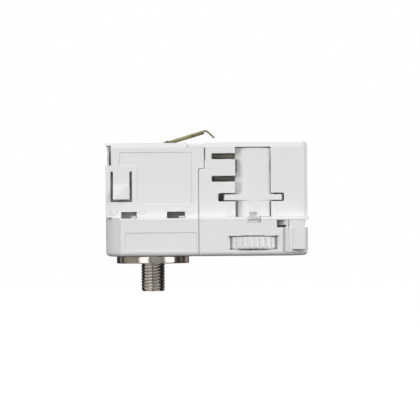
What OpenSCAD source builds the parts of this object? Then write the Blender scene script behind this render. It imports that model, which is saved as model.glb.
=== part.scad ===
// Three-circuit track light adapter with an M10x1 nipple, parked and unlocked.
// Frame: the origin is on the nipple's axis at the underside of its flange, +X runs along
// the body to the lever end, -Y is the front and +Z goes up into the track.

/* [Body] */
// Length of the body
body_l = 85; // [80:0.5:95]
// Distance from the nipple's axis to the left end
nipple_to_end = 19.7; // [18.5:0.1:24]
// Distance from the drum's axis to the right end
drum_to_end = 23; // [22.5:0.1:26]
// Width of the base
base_w = 33; // [31.5:0.1:36]
// Width of the part that goes into the track
upper_w = 23; // [22.6:0.1:24]
// Height of the base with its ledge
base_h = 16.3; // [15.8:0.1:18]
// Height of the part that goes into the track
upper_h = 31.2; // [30.5:0.1:34]
// Wall of the two upper mouldings
upper_wall = 1.6; // [1.2:0.1:2]
// Wall of the two base tubs
base_wall = 1.5; // [1.2:0.1:1.8]
// Thickness of the base floors
floor_t = 1.3; // [1:0.1:1.6]
// Thickness of the ledge plates
ledge_t = 1.3; // [1:0.1:1.5]
// Thickness of the top plates
top_t = 1.8; // [1.4:0.1:2.2]
// Radius of the base's rounded bottom edge
base_round = 1.9; // [0.6:0.1:2]
// Height of the sloped band along the top edge
top_band_h = 2; // [1:0.1:3]
// Depth of the sloped band along the top edge
top_band_d = 0.8; // [0.4:0.1:1.2]
// Gap of the seams between left and right mouldings
seam_gap = 0.25; // [0.1:0.05:0.4]
// Rise of the left end's arc over the base's width
end_rise = 6.5; // [4:0.1:9]

/* [Nipple] */
// Diameter of the threaded tube
nipple_d = 10; // [8:0.5:12]
// Bore of the threaded tube
nipple_bore = 7.4; // [5:0.1:8]
// Length of the tube under the flange
nipple_l = 11.8; // [8:0.1:20]
// Diameter of the flange
flange_d = 30.4; // [26:0.1:31]
// Thickness of the flange
flange_t = 3; // [2:0.1:4]
// Width across the nut's flats
nut_af = 14; // [13:0.1:15]
// Height of the nut
nut_h = 3.5; // [2.5:0.1:4]

/* [Contact drum] */
// Diameter of the drum
drum_d = 22.4; // [22:0.1:22.6]
// Running gap round the drum
drum_gap = 0.15; // [0.1:0.05:0.2]
// Width of the window in front of the drum
window_w = 14.8; // [12:0.1:16]
// Turn from parked to locked, in degrees
lock_turn = 50; // [40:1:55]
// Reach of the contact blades from the drum's axis
blade_reach = 18.2; // [17.5:0.1:18.6]
// Width of the contact blades
blade_w = 4.4; // [3:0.1:5]
// Thickness of the contact blades
blade_t = 1.5; // [0.8:0.1:1.6]
// Height of the lower blades over the ledge
low_blade = 16; // [15:0.1:17]
// Height of the upper blades over the ledge
high_blade = 25.45; // [24.5:0.1:26]
// Parked direction of the front blades, in degrees from +X
blade_parked = 187.2; // [184:0.1:190]
// Height of the slots that the blades swing through
slot_h = 2.45; // [2:0.05:2.8]
// Reach of the locking cam to each side
cam_reach = 12.3; // [11.6:0.1:12.8]
// Thickness of the locking cam
cam_t = 2.4; // [1.8:0.1:3]
// Height of the locking cam over the ledge
cam_up = 7; // [6.5:0.1:8]

/* [Lever and wheel] */
// Radius of the lever's plate
lever_r = 14.4; // [12:0.1:14.6]
// Thickness of the lever's plate
lever_t = 2; // [1.5:0.1:2.2]
// Wall of the lever's curved skirt
skirt_t = 1.8; // [1.2:0.1:2]
// Width of the lever's corner tab
tab_w = 8.25; // [7:0.05:9]
// Radius of the circuit wheel
wheel_r = 17.6; // [17.2:0.1:18]
// Thickness of the circuit wheel
wheel_t = 5.2; // [4:0.1:5.6]
// Number of ribs round the wheel
wheel_ribs = 44; // [36:1:52]
// Radius of the selector's shaft
shaft_r = 4.6; // [4.2:0.1:4.8]
// Running gap round the selector's shaft
shaft_gap = 0.1; // [0.05:0.01:0.1]

/* [Earth spring] */
// Width of the earth spring
leaf_w = 7; // [5:0.1:8]
// Thickness of its sheet
leaf_t = 0.6; // [0.4:0.05:0.8]
// Height of its apex over the body's top
leaf_rise = 5.5; // [4:0.1:6]
// Depth of its turned-down sides
leaf_side = 1.6; // [1:0.1:1.8]

/* [Terminals] */
// Outer radius of a terminal sleeve
sleeve_r = 2.4; // [2:0.1:2.6]
// Length of a terminal sleeve
sleeve_l = 11; // [9:0.1:12]
// Distance between the terminals
pole_pitch = 6; // [5.6:0.1:6.2]
// Radius of the inner leads
lead_r = 1; // [0.7:0.05:1.1]

/* [Hidden] */
$fn = 48;
eps = 0.01;
past = 1;

left_x = -nipple_to_end;
right_x = left_x + body_l;
drum_x = right_x - drum_to_end;
base_y = base_w / 2;
upper_y = upper_w / 2;
base_z = flange_t;
ledge_z = base_z + base_h;
ledge_low = ledge_z - ledge_t;
top_z = ledge_z + upper_h;
upper_left = left_x + 0.2;
upper_right = right_x - 0.2;
end_r = (base_y * base_y + end_rise * end_rise) / (2 * end_rise);
inner_y = upper_y - upper_wall;
tub_y = base_y - base_wall;
tub_z = base_z + floor_t;
drum_r = drum_d / 2;
bore_r = drum_r + drum_gap;

low_seam = drum_x - 22.7;
high_seam = low_seam + 2.4;
step_z = ledge_z + 20.4;
step_gap = 0.2;
lap = 0.4;
lap_y = 9;
lap_w = 1;
lap_gap = 0.15;
clip_x = drum_x - 27.6;
clip_z = top_z - 1.85;
chamber_top = top_z - top_t;
plate_t = 1.6;
corner_c = 1.25;

leaf_x = 3.6;
leaf_root_z = top_z - 0.5;
pocket_y = leaf_w / 2 + 0.7;
pocket_depth = 2.2;
tip_pocket_depth = 3.6;
pocket_floor = 1.1;
apex = [drum_x - 19.5, top_z + leaf_rise];
leaf_tip = [drum_x - 15.9, top_z + leaf_rise - 3.2];

white = [0.88, 0.88, 0.88];
brass = [0.72, 0.58, 0.30];
bronze = [0.55, 0.50, 0.36];
nickel = [0.62, 0.59, 0.54];
steel = [0.60, 0.60, 0.60];

// A block between two opposite corners.
module block(low, high) {
  translate(low) cube(high - low);
}

// The shape and its copy in the other half, mirrored over the plane Y = 0.
module both_sides() {
  children();
  mirror([0, 1, 0]) children();
}

// The shape and its copy turned half a turn about the drum's axis.
module both_ways() {
  for (turn = [0, 180]) rotate(turn) children();
}

module at_drum() {
  translate([drum_x, 0, 0]) children();
}

// A profile drawn in Y and Z, run along X from one place to another.
module run_along_x(from, to) {
  translate([from, 0, 0]) rotate([90, 0, 90]) linear_extrude(to - from) children();
}

// A profile drawn in X and Z, run along Y, centred.
module run_along_y(width) {
  translate([0, width / 2, 0]) rotate([90, 0, 0]) linear_extrude(width) children();
}

// Half of the base's section: rounded at the bottom, sloped at the ledge.
module base_half_section(half) {
  edge = 0.9;
  polygon([
    [0, base_z], [half - base_round, base_z], [half, base_z + base_round],
    [half, ledge_z - edge], [half - edge, ledge_z], [0, ledge_z]
  ]);
  translate([half - base_round, base_z + base_round]) circle(base_round);
}

module base_section() {
  base_half_section(base_y);
  mirror([1, 0]) base_half_section(base_y);
}

// The whole left lower outline, from the floor to the ledge.
module left_outer() {
  intersection() {
    run_along_x(left_x - past, low_seam - seam_gap) base_section();
    union() {
      block([left_x + end_r, -base_w, 0], [low_seam, base_w, ledge_z]);
      translate([left_x + end_r, 0, 0]) rotate_extrude() base_half_section(end_r);
    }
  }
}

// The right lower outline, with its end round about the drum's axis.
module right_outer() {
  intersection() {
    run_along_x(low_seam, right_x + past) base_section();
    union() {
      block([low_seam, -base_w, 0], [drum_x, base_w, ledge_z]);
      at_drum() rotate_extrude() base_half_section(drum_to_end);
    }
  }
}

// The ledge plate of one upper moulding, with its outer corners cut off.
module ledge(inner, outer) {
  back = outer - sign(outer - inner) * corner_c;
  intersection() {
    run_along_x(min(inner, outer), max(inner, outer)) base_section();
    translate([0, 0, ledge_low]) linear_extrude(ledge_t) polygon([
      [inner, -base_y], [back, -base_y], [outer, corner_c - base_y],
      [outer, base_y - corner_c], [back, base_y], [inner, base_y]
    ]);
  }
}

// The section of the upper part, with a sloped band along both top edges.
module upper_section() {
  polygon([
    [-upper_y, ledge_low], [-upper_y, top_z - top_band_h], [top_band_d - upper_y, top_z],
    [upper_y - top_band_d, top_z], [upper_y, top_z - top_band_h], [upper_y, ledge_low]
  ]);
}

// A slot with round ends along X, cut through the front wall.
module round_slot(from, to, z, height, y_to) {
  corner = 0.6;
  translate([0, y_to, z]) rotate([90, 0, 0]) linear_extrude(y_to + upper_y + past) union() {
    translate([from + corner, -height / 2]) square([to - from - corner, height]);
    translate([from, corner - height / 2]) square([to - from, height - 2 * corner]);
    for (s = [-1, 1]) translate([from + corner, s * (height / 2 - corner)]) circle(corner);
  }
}

// Snap tongue of the wiring housing: the U-shaped gap and the wedge on the tongue.
tongue_left = nipple_to_end - 3.35;
tongue_right = nipple_to_end - 10.2;
tongue_low = ledge_z + 7.65;
tongue_top = ledge_z + 19.3;
tongue_gap = 1.1;
wedge_top = ledge_z + 14.1;
wedge_out = 2.6;

module tongue_slot() {
  deep = upper_wall + past;
  module cut(x0, x1, z0, z1) {
    block([x0, -upper_y - past, z0], [x1, -upper_y + deep, z1]);
  }
  cut(-tongue_left - tongue_gap, -tongue_left, tongue_low - tongue_gap, tongue_top);
  cut(-tongue_right, -tongue_right + tongue_gap, tongue_low - tongue_gap, tongue_top);
  cut(-tongue_left - tongue_gap, -tongue_right + tongue_gap, tongue_low - tongue_gap, tongue_low);
}

module tongue_wedge() {
  intersection() {
    run_along_x(-tongue_left, -tongue_right) polygon([
      [-upper_y + eps, tongue_low], [-upper_y - wedge_out, tongue_low],
      [-upper_y, wedge_top], [-upper_y + eps, wedge_top]
    ]);
    translate([0, 0, tongue_low]) linear_extrude(wedge_top - tongue_low) polygon([
      [-tongue_left, -upper_y + eps], [-tongue_left, -upper_y - wedge_out],
      [-tongue_right, -upper_y], [-tongue_right, -upper_y + eps]
    ]);
  }
}

snap_windows = [[-nipple_to_end + 6.7, 6.5], [-nipple_to_end + 25.85, 7.55]];
snap_low = ledge_z - 0.4;
snap_high = ledge_z + 2.4;
panel_deep = 0.25;

// Raised pads that centre the upper part in the track.
module pad(x, width, z0, z1) {
  block([x, -upper_y - 0.3, z0], [x + width, -upper_y + eps, z1]);
}

module wiring_housing() {
  end_wall = low_seam - seam_gap - upper_wall;
  color(white) difference() {
    union() {
      run_along_x(upper_left, high_seam - seam_gap) upper_section();
      ledge(low_seam - seam_gap, left_x);
      both_sides() {
        tongue_wedge();
        pad(left_x + 2.6, 2.1, ledge_z + 1.5, ledge_z + 3.4);
        pad(left_x + 14.4, 1.7, ledge_z + 1.5, ledge_z + 3.4);
        pad(left_x + 34.5, 1.8, ledge_z + 1.5, ledge_z + 3.4);
      }
    }
    // the step down to the lower seam, and the place of the clip
    block([low_seam - seam_gap, -base_w, 0], [right_x, base_w, step_z]);
    block([clip_x, -base_w, clip_z], [right_x, base_w, top_z + past]);
    // the chamber for the leads, lower under the clip
    difference() {
      block([upper_left + upper_wall, -inner_y, 0], [end_wall, inner_y, chamber_top]);
      block([clip_x - plate_t, -base_w, clip_z - plate_t], [right_x, base_w, top_z]);
      block(
        [leaf_x - 3.2, -pocket_y - plate_t, top_z - pocket_depth - pocket_floor],
        [right_x, pocket_y + plate_t, top_z]
      );
      both_sides() {
        tongue_guard();
        block_stop();
      }
    }
    // the pocket and the slot for the earth spring
    block([leaf_x - 1.6, -pocket_y, top_z - pocket_depth], [right_x, pocket_y, top_z + past]);
    block([leaf_x - 1.6, -pocket_y + 0.8, ledge_z], [leaf_x + 0.8, pocket_y - 0.8, top_z]);
    // the way for the leads through the end wall
    block([end_wall - past, -8.2, ledge_z + 4], [low_seam, 8.2, ledge_z + 12]);
    both_sides() {
      tongue_slot();
      for (w = snap_windows) {
        block([w[0], -base_w, snap_low], [w[0] + w[1], -inner_y + eps, snap_high]);
      }
      corner_notch();
      marking_panel();
      // the grooves that take the ribs of the contact housing and of the clip
      seam_lap(lap_gap, ledge_low - past, clip_z + eps);
      clip_lap(lap_gap, top_z - 0.6);
    }
  }
}

// The stepped rib along the seam of the upper mouldings, or the groove round it.
module seam_lap(gap, from, to) {
  y0 = lap_y - gap;
  y1 = lap_y + lap_w + gap;
  deep = seam_gap + lap + gap;
  up = lap + gap;
  over = 0.5;
  block([low_seam - deep, y0, from], [low_seam + over, y1, step_z - over]);
  block([low_seam - deep, y0, step_z - step_gap - over - eps], [high_seam + over, y1, step_z + up]);
  block([high_seam - deep, y0, step_z], [high_seam + over, y1, to]);
}

// The small tenon at the clip's left end, or the groove round it.
module clip_lap(gap, to) {
  block([clip_x - lap - gap, 7.5 - gap, clip_z + 0.05], [clip_x + 1, 8.5 + gap, to]);
}

// Inner wall that keeps the leads away from a snap tongue.
module tongue_guard() {
  block([left_x, -guard_y - 1, ledge_low], [leaf_x - 9, -guard_y, top_z]);
}

// Shoulder on the side wall that the terminal block is pushed up against.
module block_stop() {
  z = pole_z + block_up;
  block([block_left + 1, -inner_y - eps, z], [block_left + sleeve_l - 1, 0.7 - inner_y, z + 1.2]);
}

guard_y = 5;

// Recess across the left end, with a notch in each corner, deep at the top.
module corner_notch() {
  low = ledge_z + 21.9;
  high = top_z - 1;
  run_along_y(base_w) polygon([
    [left_x - past, low], [left_x + 0.9, low], [left_x + 0.9, high - 1.8],
    [left_x + 0.4, high], [left_x - past, high]
  ]);
  run_along_x(left_x - past, left_x + 2.6) polygon([
    [-upper_y - past, low], [-upper_y + 2.5, low], [-upper_y + 7.5, high], [-upper_y - past, high]
  ]);
}

// Shallow panel, bare, beside and above the snap tongue.
module marking_panel() {
  front = -upper_y + panel_deep;
  block([left_x + 6.05, -upper_y - past, ledge_z + 21.7], [left_x + 36.3, front, ledge_z + 27.3]);
  block([left_x + 13.2, -upper_y - past, ledge_z + 5.7], [left_x + 36.3, front, ledge_z + 27.3]);
}

cam_low = ledge_z + cam_up;
cam_slot_low = cam_low - 0.5;
cam_slot_h = cam_t + 1.1;
nose_low = ledge_z + 18.9;
nose_high = nose_low + 5;
window_top = top_z - 1.9;
core_r = shaft_r + shaft_gap;
journal_r = 4.5;
foot_z = ledge_low;

module contact_housing() {
  color(white) {
    contact_shell();
    both_sides() seam_lap(0, ledge_low + 0.1, clip_z - 0.2);
  }
}

module contact_shell() {
  wall_x = low_seam + upper_wall;
  high_wall_x = high_seam + 1.4;
  far_x = upper_right - upper_wall;
  // the barrel is as thick as a wall, and as wide as it takes to stand on the side walls
  barrel_r = max(bore_r + upper_wall, norm([window_w / 2 + 0.9, inner_y]));
  difference() {
    union() {
      difference() {
        run_along_x(low_seam, upper_right) upper_section();
        right_corners();
      }
      ledge(low_seam, right_x);
      both_sides() {
        pad(drum_x - 10.1, 2.5, ledge_z, ledge_z + 3.2);
        pad(drum_x + 8, 1.9, ledge_z, ledge_z + 3.2);
      }
    }
    block([low_seam - past, -base_w, step_z - step_gap], [high_seam, base_w, top_z + past]);
    // the two blade chambers beside the drum's barrel
    difference() {
      union() {
        block([wall_x, -inner_y, 0], [far_x, inner_y, step_z - upper_wall]);
        block([high_wall_x, -inner_y, 0], [far_x, inner_y, chamber_top]);
      }
      at_drum() translate([0, 0, -past]) cylinder(r = barrel_r, h = top_z + 2 * past);
      tip_pocket(pocket_floor);
      neutral_stud_wall();
    }
    at_drum() {
      cylinder(r = bore_r, h = window_top);
      cylinder(r = journal_r + 0.05, h = top_z + past);
      cylinder(r = disc_r + 0.15, h = window_top + disc_up + 0.2);
      both_ways() flush_room();
      block([-window_w / 2, -base_w, ledge_z], [window_w / 2, base_w, window_top]);
      both_ways() {
        for (z = [low_blade, high_blade]) blade_swing(ledge_z + z);
        cam_swing();
      }
      // the slot in the drum's jamb for the neutral spring's nose
      block([-14, -inner_y + eps, nose_low - 0.3], [-window_w / 2 + past, -8.1, nose_high + 0.3]);
      // the notch that shows the drum's index mark
      block([-2.5, -base_w, 0], [3.2, 0, ledge_z + eps]);
    }
    tip_pocket(0);
    // the way for the leads from the wiring side
    block([low_seam - past, -8.2, ledge_z + 4], [wall_x + past, 8.2, ledge_z + 12]);
  }
}

// Corner chamfers at the right end of the upper part, and the slope at its top.
module right_corners() {
  cut = corner_c * sqrt(2);
  both_sides() translate([upper_right, -upper_y, 0]) rotate(45)
    block([-cut / 2, -cut, 0], [cut, cut, top_z + past]);
  run_along_y(base_w) polygon([
    [upper_right - 0.4, top_z + eps], [upper_right + eps, top_z - top_band_h],
    [upper_right + past, top_z + eps]
  ]);
}

// Room for one pair of blades at one height, from parked to locked, with the visible slot.
module blade_swing(z) {
  round_slot(-17.35, -window_w / 2 + eps, z, slot_h, -inner_y + past);
  block([-blade_reach - 0.4, -inner_y, z - slot_h / 2], [-window_w / 2, 2.6, z + slot_h / 2]);
}

// Room for the cam inside of the walls, and one visible slot on each side of the window.
module cam_swing() {
  z = cam_slot_low + cam_slot_h / 2;
  room_r = norm([cam_reach - cam_corner, drum_r - cam_corner]) + cam_corner + 0.3;
  intersection() {
    translate([0, 0, cam_slot_low - 0.8]) cylinder(r = room_r, h = cam_slot_h + 1.6);
    block([-base_w, -inner_y, 0], [base_w, inner_y, top_z]);
  }
  round_slot(-14.6, -window_w / 2 + eps, z, cam_slot_h, past - inner_y);
  mirror([1, 0, 0]) round_slot(-cam_reach - 0.65, -window_w / 2 + eps, z, cam_slot_h, past - inner_y);
}

// Pocket in the top plate for the earth spring's tip, or the boss round it.
module tip_pocket(wall) {
  block(
    [high_seam - past, -pocket_y - wall, top_z - tip_pocket_depth - wall],
    [drum_x - 13.9 + wall, pocket_y + wall, top_z + past]
  );
}

stud_x = drum_x - 17.2;
neutral_mid = (nose_low + nose_high) / 2;

// Stud on the front wall that holds the neutral spring.
module neutral_stud_wall() {
  translate([stud_x, -inner_y, neutral_mid]) rotate([90, 0, 0]) translate([0, 0, -1.1])
    cylinder(r = 0.8, h = 1.2);
}

module joining_clip() {
  color(white) difference() {
    union() {
      intersection() {
        run_along_x(clip_x + 0.25, high_seam - seam_gap / 2) upper_section();
        block([left_x, -base_w, clip_z + 0.05], [right_x, base_w, top_z - 0.4]);
      }
      both_sides() clip_lap(0, top_z - 0.8);
    }
    block([left_x, -pocket_y, top_z - 1.3], [right_x, pocket_y, top_z + past]);
  }
}

hook_t = 1.2;

module left_base() {
  color(white) {
    difference() {
      intersection() {
        left_outer();
        block([left_x - past, -base_w, 0], [low_seam, base_w, ledge_low]);
      }
      intersection() {
        block([left_x, -tub_y, tub_z], [low_seam - seam_gap - base_wall, tub_y, ledge_z]);
        union() {
          block([left_x + end_r, -base_w, tub_z], [low_seam, base_w, ledge_z]);
          translate([left_x + end_r, 0, tub_z]) cylinder(r = end_r - base_wall, h = base_h);
        }
      }
      translate([0, 0, -past]) cylinder(r = nipple_d / 2 + 0.1, h = base_h);
      both_sides() block(
        [left_x + 8.2, -base_y - past, base_z + 2.6],
        [left_x + 38.3, -base_y + panel_deep, base_z + 9.9]
      );
      both_sides() base_lap(lap_gap, base_z - past, ledge_z);
    }
    both_sides() {
      for (w = snap_windows) snap_hook(w[0] + w[1] - 2.6);
      block([9.5, -rib_y - rib_t, tub_z - eps], [block_left + sleeve_l, -rib_y, block_low - rib_h]);
    }
  }
}

// The rib along the seam of the bases, or the groove round it.
module base_lap(gap, from, to) {
  block(
    [low_seam - seam_gap - lap - gap, tub_y - 0.9 - gap, from],
    [low_seam + 0.5, tub_y - 0.1 + gap, to]
  );
}

// Upright hook on the base's floor that catches in a window of the wiring housing.
module snap_hook(x) {
  y = -inner_y + 0.2;
  width = 2.4;
  block([x, y, tub_z - eps], [x + width, y + hook_t, ledge_z + 0.6]);
  block([x + width - 1.2, -inner_y - 0.9, snap_low + 0.1], [x + width, y + eps, ledge_z + 0.6]);
}

skirt_in = drum_to_end - skirt_t + 0.1;
recess_r = skirt_in - 0.25;
end_wall_r = recess_r - base_wall;
slot_low = ledge_low - 3.2;
wall_end = 12.8;
wheel_low = base_z + 2.8;
wheel_high = wheel_low + wheel_t;
lever_high = ledge_low - 0.2;
lever_low = lever_high - lever_t;
plate_high = lever_low - 0.2;
plate_low = plate_high - 0.9;
skirt_low = tub_z + 0.3;
boss_z = tub_z + 1;
post_x = low_seam + base_wall;
detent_x = drum_x - wheel_r - 0.75;
brush_low = wheel_high + 1;
brush_y = 6.3;
brush_h = 2.2;

module right_base() {
  color(white) {
    difference() {
      intersection() {
        right_outer();
        block([low_seam, -base_w, 0], [right_x, base_w, ledge_low]);
      }
      // the inside of the tub
      block([post_x, -tub_y, tub_z], [drum_x, tub_y, ledge_z]);
      at_drum() intersection() {
        block([-eps, -tub_y, tub_z], [base_w, tub_y, ledge_z]);
        translate([0, 0, tub_z]) cylinder(r = end_wall_r, h = base_h);
      }
      at_drum() {
        skirt_recess();
        // the slot for the lever's arm
        block([9.8, -base_w, slot_low], [base_w, base_w, ledge_z]);
        // the windows that the wheel stands out of
        both_sides() wheel_window();
        // the notch under the drum's index mark
        block([-2.5, -base_w, ledge_low - 1.2], [3.2, 0, ledge_z]);
        // the wheel's pivot hole
        translate([0, 0, base_z + 0.6]) cylinder(r = 2.05, h = floor_t);
      }
      both_sides() panel_corner();
    }
    base_supports();
    both_sides() base_lap(0, base_z + 0.1, ledge_low - 0.1);
  }
}

// Window for the wheel in the front wall, with round upper corners and flared ends.
module wheel_window() {
  win = 10.95;
  flare = 1.05;
  low = wheel_low - 0.15;
  high = wheel_high + 0.5;
  outer = win + flare * past / base_wall;
  intersection() {
    translate([0, eps, 0]) rotate([90, 0, 0]) linear_extrude(base_w) union() {
      translate([-win - past, low]) square([2 * (win + past), high - 1 - low]);
      translate([1 - win, low]) square([2 * win - 2, high - low]);
      for (s = [-1, 1]) translate([s * (win - 1), high - 1]) circle(1);
    }
    translate([0, 0, base_z]) linear_extrude(base_h) polygon([
      [-outer, -base_y - past], [outer, -base_y - past], [win - flare, -tub_y],
      [win - flare, 0], [flare - win, 0], [flare - win, -tub_y]
    ]);
  }
}

// Slope at the front wall's end beside the lever's tab.
module panel_corner() {
  at_drum() translate([wall_end, -base_y, 0]) rotate(45)
    block([-0.5, -0.5, tub_z - 0.2], [0.5, 0.5, slot_low + past]);
}

// Space that the lever's skirt and tab sweep outside of the end wall.
module skirt_recess() {
  far = 2 * base_w;
  from = -acos(wall_end / sqrt(wall_end * wall_end + base_y * base_y));
  to = 47.5;
  difference() {
    translate([0, 0, tub_z]) linear_extrude(base_h) polygon([
      [0, 0], far * [cos(from), sin(from)], [far, 0], far * [cos(to), sin(to)]
    ]);
    cylinder(r = recess_r, h = ledge_z);
  }
}

// Posts and rests inside the right tub, and the wheel's pivot boss.
module base_supports() {
  both_sides() {
    block([post_x - eps, 11, tub_z - eps], [post_x + 4.2, tub_y + eps, plate_low]);
    difference() {
      block([detent_x - 1.2, 8, tub_z - eps], [detent_x + 1.4, 10, wheel_high - 0.6]);
      detent_strip();
    }
  }
  block([post_x - eps, 5.2, tub_z - eps], [post_x + 2.2, 7.6, brush_low]);
  at_drum() {
    difference() {
      translate([0, 0, tub_z - eps]) cylinder(r = 4, h = 1 + eps);
      translate([0, 0, base_z]) cylinder(r = 2.05, h = base_h);
    }
    intersection() {
      block([0, -6, tub_z - eps], [base_w, 6, plate_low]);
      difference() {
        cylinder(r = end_wall_r + eps, h = ledge_z);
        cylinder(r = wheel_r + 0.6, h = ledge_z);
      }
    }
  }
}

module detent_strip() {
  block([detent_x, -9.2, wheel_low + 0.7], [detent_x + 0.35, 9.2, wheel_high - 0.7]);
}

module detent_spring() {
  color(steel) {
    detent_strip();
    at_detent() cylinder(r = 0.45, h = wheel_t - 1.8);
  }
}

// The bend in the detent spring's middle, pointing at the wheel.
module at_detent() {
  translate([detent_x + 0.1, 0, wheel_low + 0.9]) children();
}

lug_reach = cam_reach + 1;
lug_y = [-4, -2.8];

cam_corner = 1.5;

// The plan of the cam: a plate across the drum, as deep as the drum, with round corners.
module cam_plan() {
  x = cam_reach - cam_corner;
  y = drum_r - cam_corner;
  square([2 * x, 2 * drum_r], center = true);
  square([2 * cam_reach, 2 * y], center = true);
  both_ways() for (s = [-1, 1]) translate([x, s * y]) circle(cam_corner);
}

// Stop lugs at the cam's ends, taller than the slots.
module stop_lugs() {
  both_ways() block(
    [drum_r - 1, lug_y[0], cam_slot_low - 0.4],
    [lug_reach, lug_y[1], cam_slot_low + cam_slot_h + 0.4]
  );
}

key_w = 12;
flush_x = window_w / 2 - 0.15;
flush_y = upper_y - 0.75;

// The quarter of the drum that fills its window out to the housing's face.
module flush_quarter() {
  translate([0, 0, ledge_z + 0.1]) linear_extrude(window_top - 0.6 - ledge_z) polygon([
    [0, 0], [0, -drum_r], [3, 0.35 - upper_y], [flush_x, -flush_y], [flush_x, -6]
  ]);
}

// Room in the housing for the flush quarter's way from parked to locked, with its floor
// sunk a little into the ledge.
module flush_room() {
  sunk = 0.1;
  translate([0, 0, ledge_z - sunk]) linear_extrude(window_top - ledge_z + sunk) intersection() {
    circle(norm([flush_x, flush_y]) + 0.25);
    sector(-82, lock_turn - 48);
    translate([-base_w, -upper_y]) square([2 * base_w, base_w]);
  }
}

disc_r = 9;
disc_up = 0.3;

// Pocket in the drum's side round the root of a blade.
module blade_pocket(up) {
  z = ledge_z + up;
  block([-drum_r - past, -drum_r - past, z - slot_h / 2], [-7.6, -1.2, z + slot_h / 2]);
}

// The square key between the drum and the lever, with its corners off.
module key_plan(gap) {
  intersection() {
    square(key_w + 2 * gap, center = true);
    circle(7.6 + gap);
  }
}

module contact_drum() {
  color(white) at_drum() difference() {
    union() {
      translate([0, 0, foot_z]) cylinder(r = drum_r, h = window_top - 0.5 - foot_z);
      translate([0, 0, cam_low]) linear_extrude(cam_t) cam_plan();
      stop_lugs();
      both_ways() flush_quarter();
      translate([0, 0, foot_z]) cylinder(r = disc_r, h = window_top + disc_up - foot_z);
      translate([0, 0, foot_z - eps]) cylinder(r = journal_r, h = top_z - 0.2 - foot_z);
      translate([0, 0, lever_low]) linear_extrude(foot_z - lever_low + eps) key_plan(0);
    }
    translate([0, 0, lever_low - past]) cylinder(r = core_r, h = shaft_top + 0.2 - lever_low + past);
    blade_shape(0, low_blade, 6, true);
    blade_shape(0, high_blade, core_r - 1, false);
    blade_shape(180, low_blade, core_r - 1, false);
    blade_shape(180, high_blade, core_r - 1, false);
    both_ways() for (up = [low_blade, high_blade]) blade_pocket(up);
    // the index mark at the drum's foot
    block([-1.6, -drum_r - past, foot_z - eps], [1.6, -drum_r + 1.3, foot_z + 3.2]);
    // the relief grooves beside the window's edges
    block([-7.5, -drum_r, ledge_z], [-6.4, -6, cam_low - 0.6]);
    block([7, -drum_r, ledge_z], [7.4, -6, cam_low - 0.6]);
    block([7, -drum_r, nose_low], [7.4, -6, nose_high]);
  }
}

shaft_top = top_z - 4.1;

// One contact blade: a strip with a round tip, and for the neutral blade a collector
// that stands flush in the drum's side.
module blade_shape(turn, up, from, collector) {
  z = ledge_z + up - blade_t / 2;
  tip = blade_w / 2;
  rotate(blade_parked + turn) {
    translate([0, 0, z]) linear_extrude(blade_t) {
      translate([from, -tip]) square([blade_reach - tip - from, blade_w]);
      translate([blade_reach - tip, 0]) circle(tip);
    }
    if (collector) intersection() {
      block([drum_r - 1.3, -tip, z], [drum_r, tip, nose_high - 0.2]);
      cylinder(r = drum_r - 0.05, h = top_z);
    }
  }
}

// A phase blade, hollowed at its inner end where the selector's strip passes.
module phase_blade(turn, up) {
  color(brass) at_drum() difference() {
    blade_shape(turn, up, core_r - 1, false);
    cylinder(r = core_r + 0.05, h = top_z);
  }
}

module neutral_blade() {
  color(brass) at_drum() blade_shape(0, low_blade, 6, true);
}

module phase_blade_1() {
  phase_blade(0, high_blade);
}

module phase_blade_2() {
  phase_blade(180, low_blade);
}

module phase_blade_3() {
  phase_blade(180, high_blade);
}

arm_from = -50;
arm_to = -4;
tab_left = 13.25;

// A sector of the plan between two angles, for the lever's arm and skirt.
module sector(from, to) {
  far = 2 * base_w;
  mid = (from + to) / 2;
  polygon([[0, 0], far * [cos(from), sin(from)], far * [cos(mid), sin(mid)], far * [cos(to), sin(to)]]);
}

module lock_lever() {
  grip_x = tab_left + 1.2;
  tab_right = tab_left + tab_w;
  color(white) at_drum() difference() {
    union() {
      translate([0, 0, lever_low]) linear_extrude(lever_t) {
        circle(lever_r);
        intersection() {
          circle(drum_to_end - 0.9);
          sector(arm_from, arm_to);
        }
      }
      // the curved skirt
      translate([0, 0, skirt_low]) linear_extrude(slot_low - 0.2 - skirt_low) intersection() {
        circle(drum_to_end + 0.1);
        sector(arm_from - 1, arm_to);
      }
      // the corner tab
      translate([0, 0, skirt_low + 1.1]) linear_extrude(lever_high - skirt_low - 1) union() {
        translate([tab_left + 0.8, -base_y]) square([tab_w - 1.1, 10]);
        translate([tab_left, -base_y + 0.8]) square([tab_w, 9]);
        translate([tab_left + 0.8, -base_y + 0.8]) circle(0.8);
        translate([tab_right - 0.4, -base_y + 0.4]) circle(0.4);
      }
    }
    translate([0, 0, -past]) cylinder(r = skirt_in, h = lever_low + past);
    // the tab's body inside of the skirt's circle, above the arm's place
    difference() {
      translate([0, 0, lever_low - 0.01]) cylinder(r = skirt_in, h = base_h);
      translate([0, 0, lever_low - past]) cylinder(r = lever_r, h = base_h);
      translate([0, 0, lever_low - past]) linear_extrude(base_h) sector(arm_from, arm_to);
    }
    translate([0, 0, lever_low - past]) linear_extrude(base_h) key_plan(0.05);
    // the grip groove
    block([grip_x, -base_y - past, skirt_low + 1.9], [grip_x + 0.5, -base_y + 0.4, lever_high - 0.8]);
  }
}

ring_low = wheel_high + 0.6;
ring_high = ring_low + 3;
strip_w = 2.5;
strip_t = 0.5;

// The flat-sided plan of the shaft's foot in the wheel's hub.
module hub_plan(gap) {
  intersection() {
    circle(shaft_r + gap);
    square([3 * shaft_r, 1.6 * shaft_r + 2 * gap], center = true);
  }
}

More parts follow.
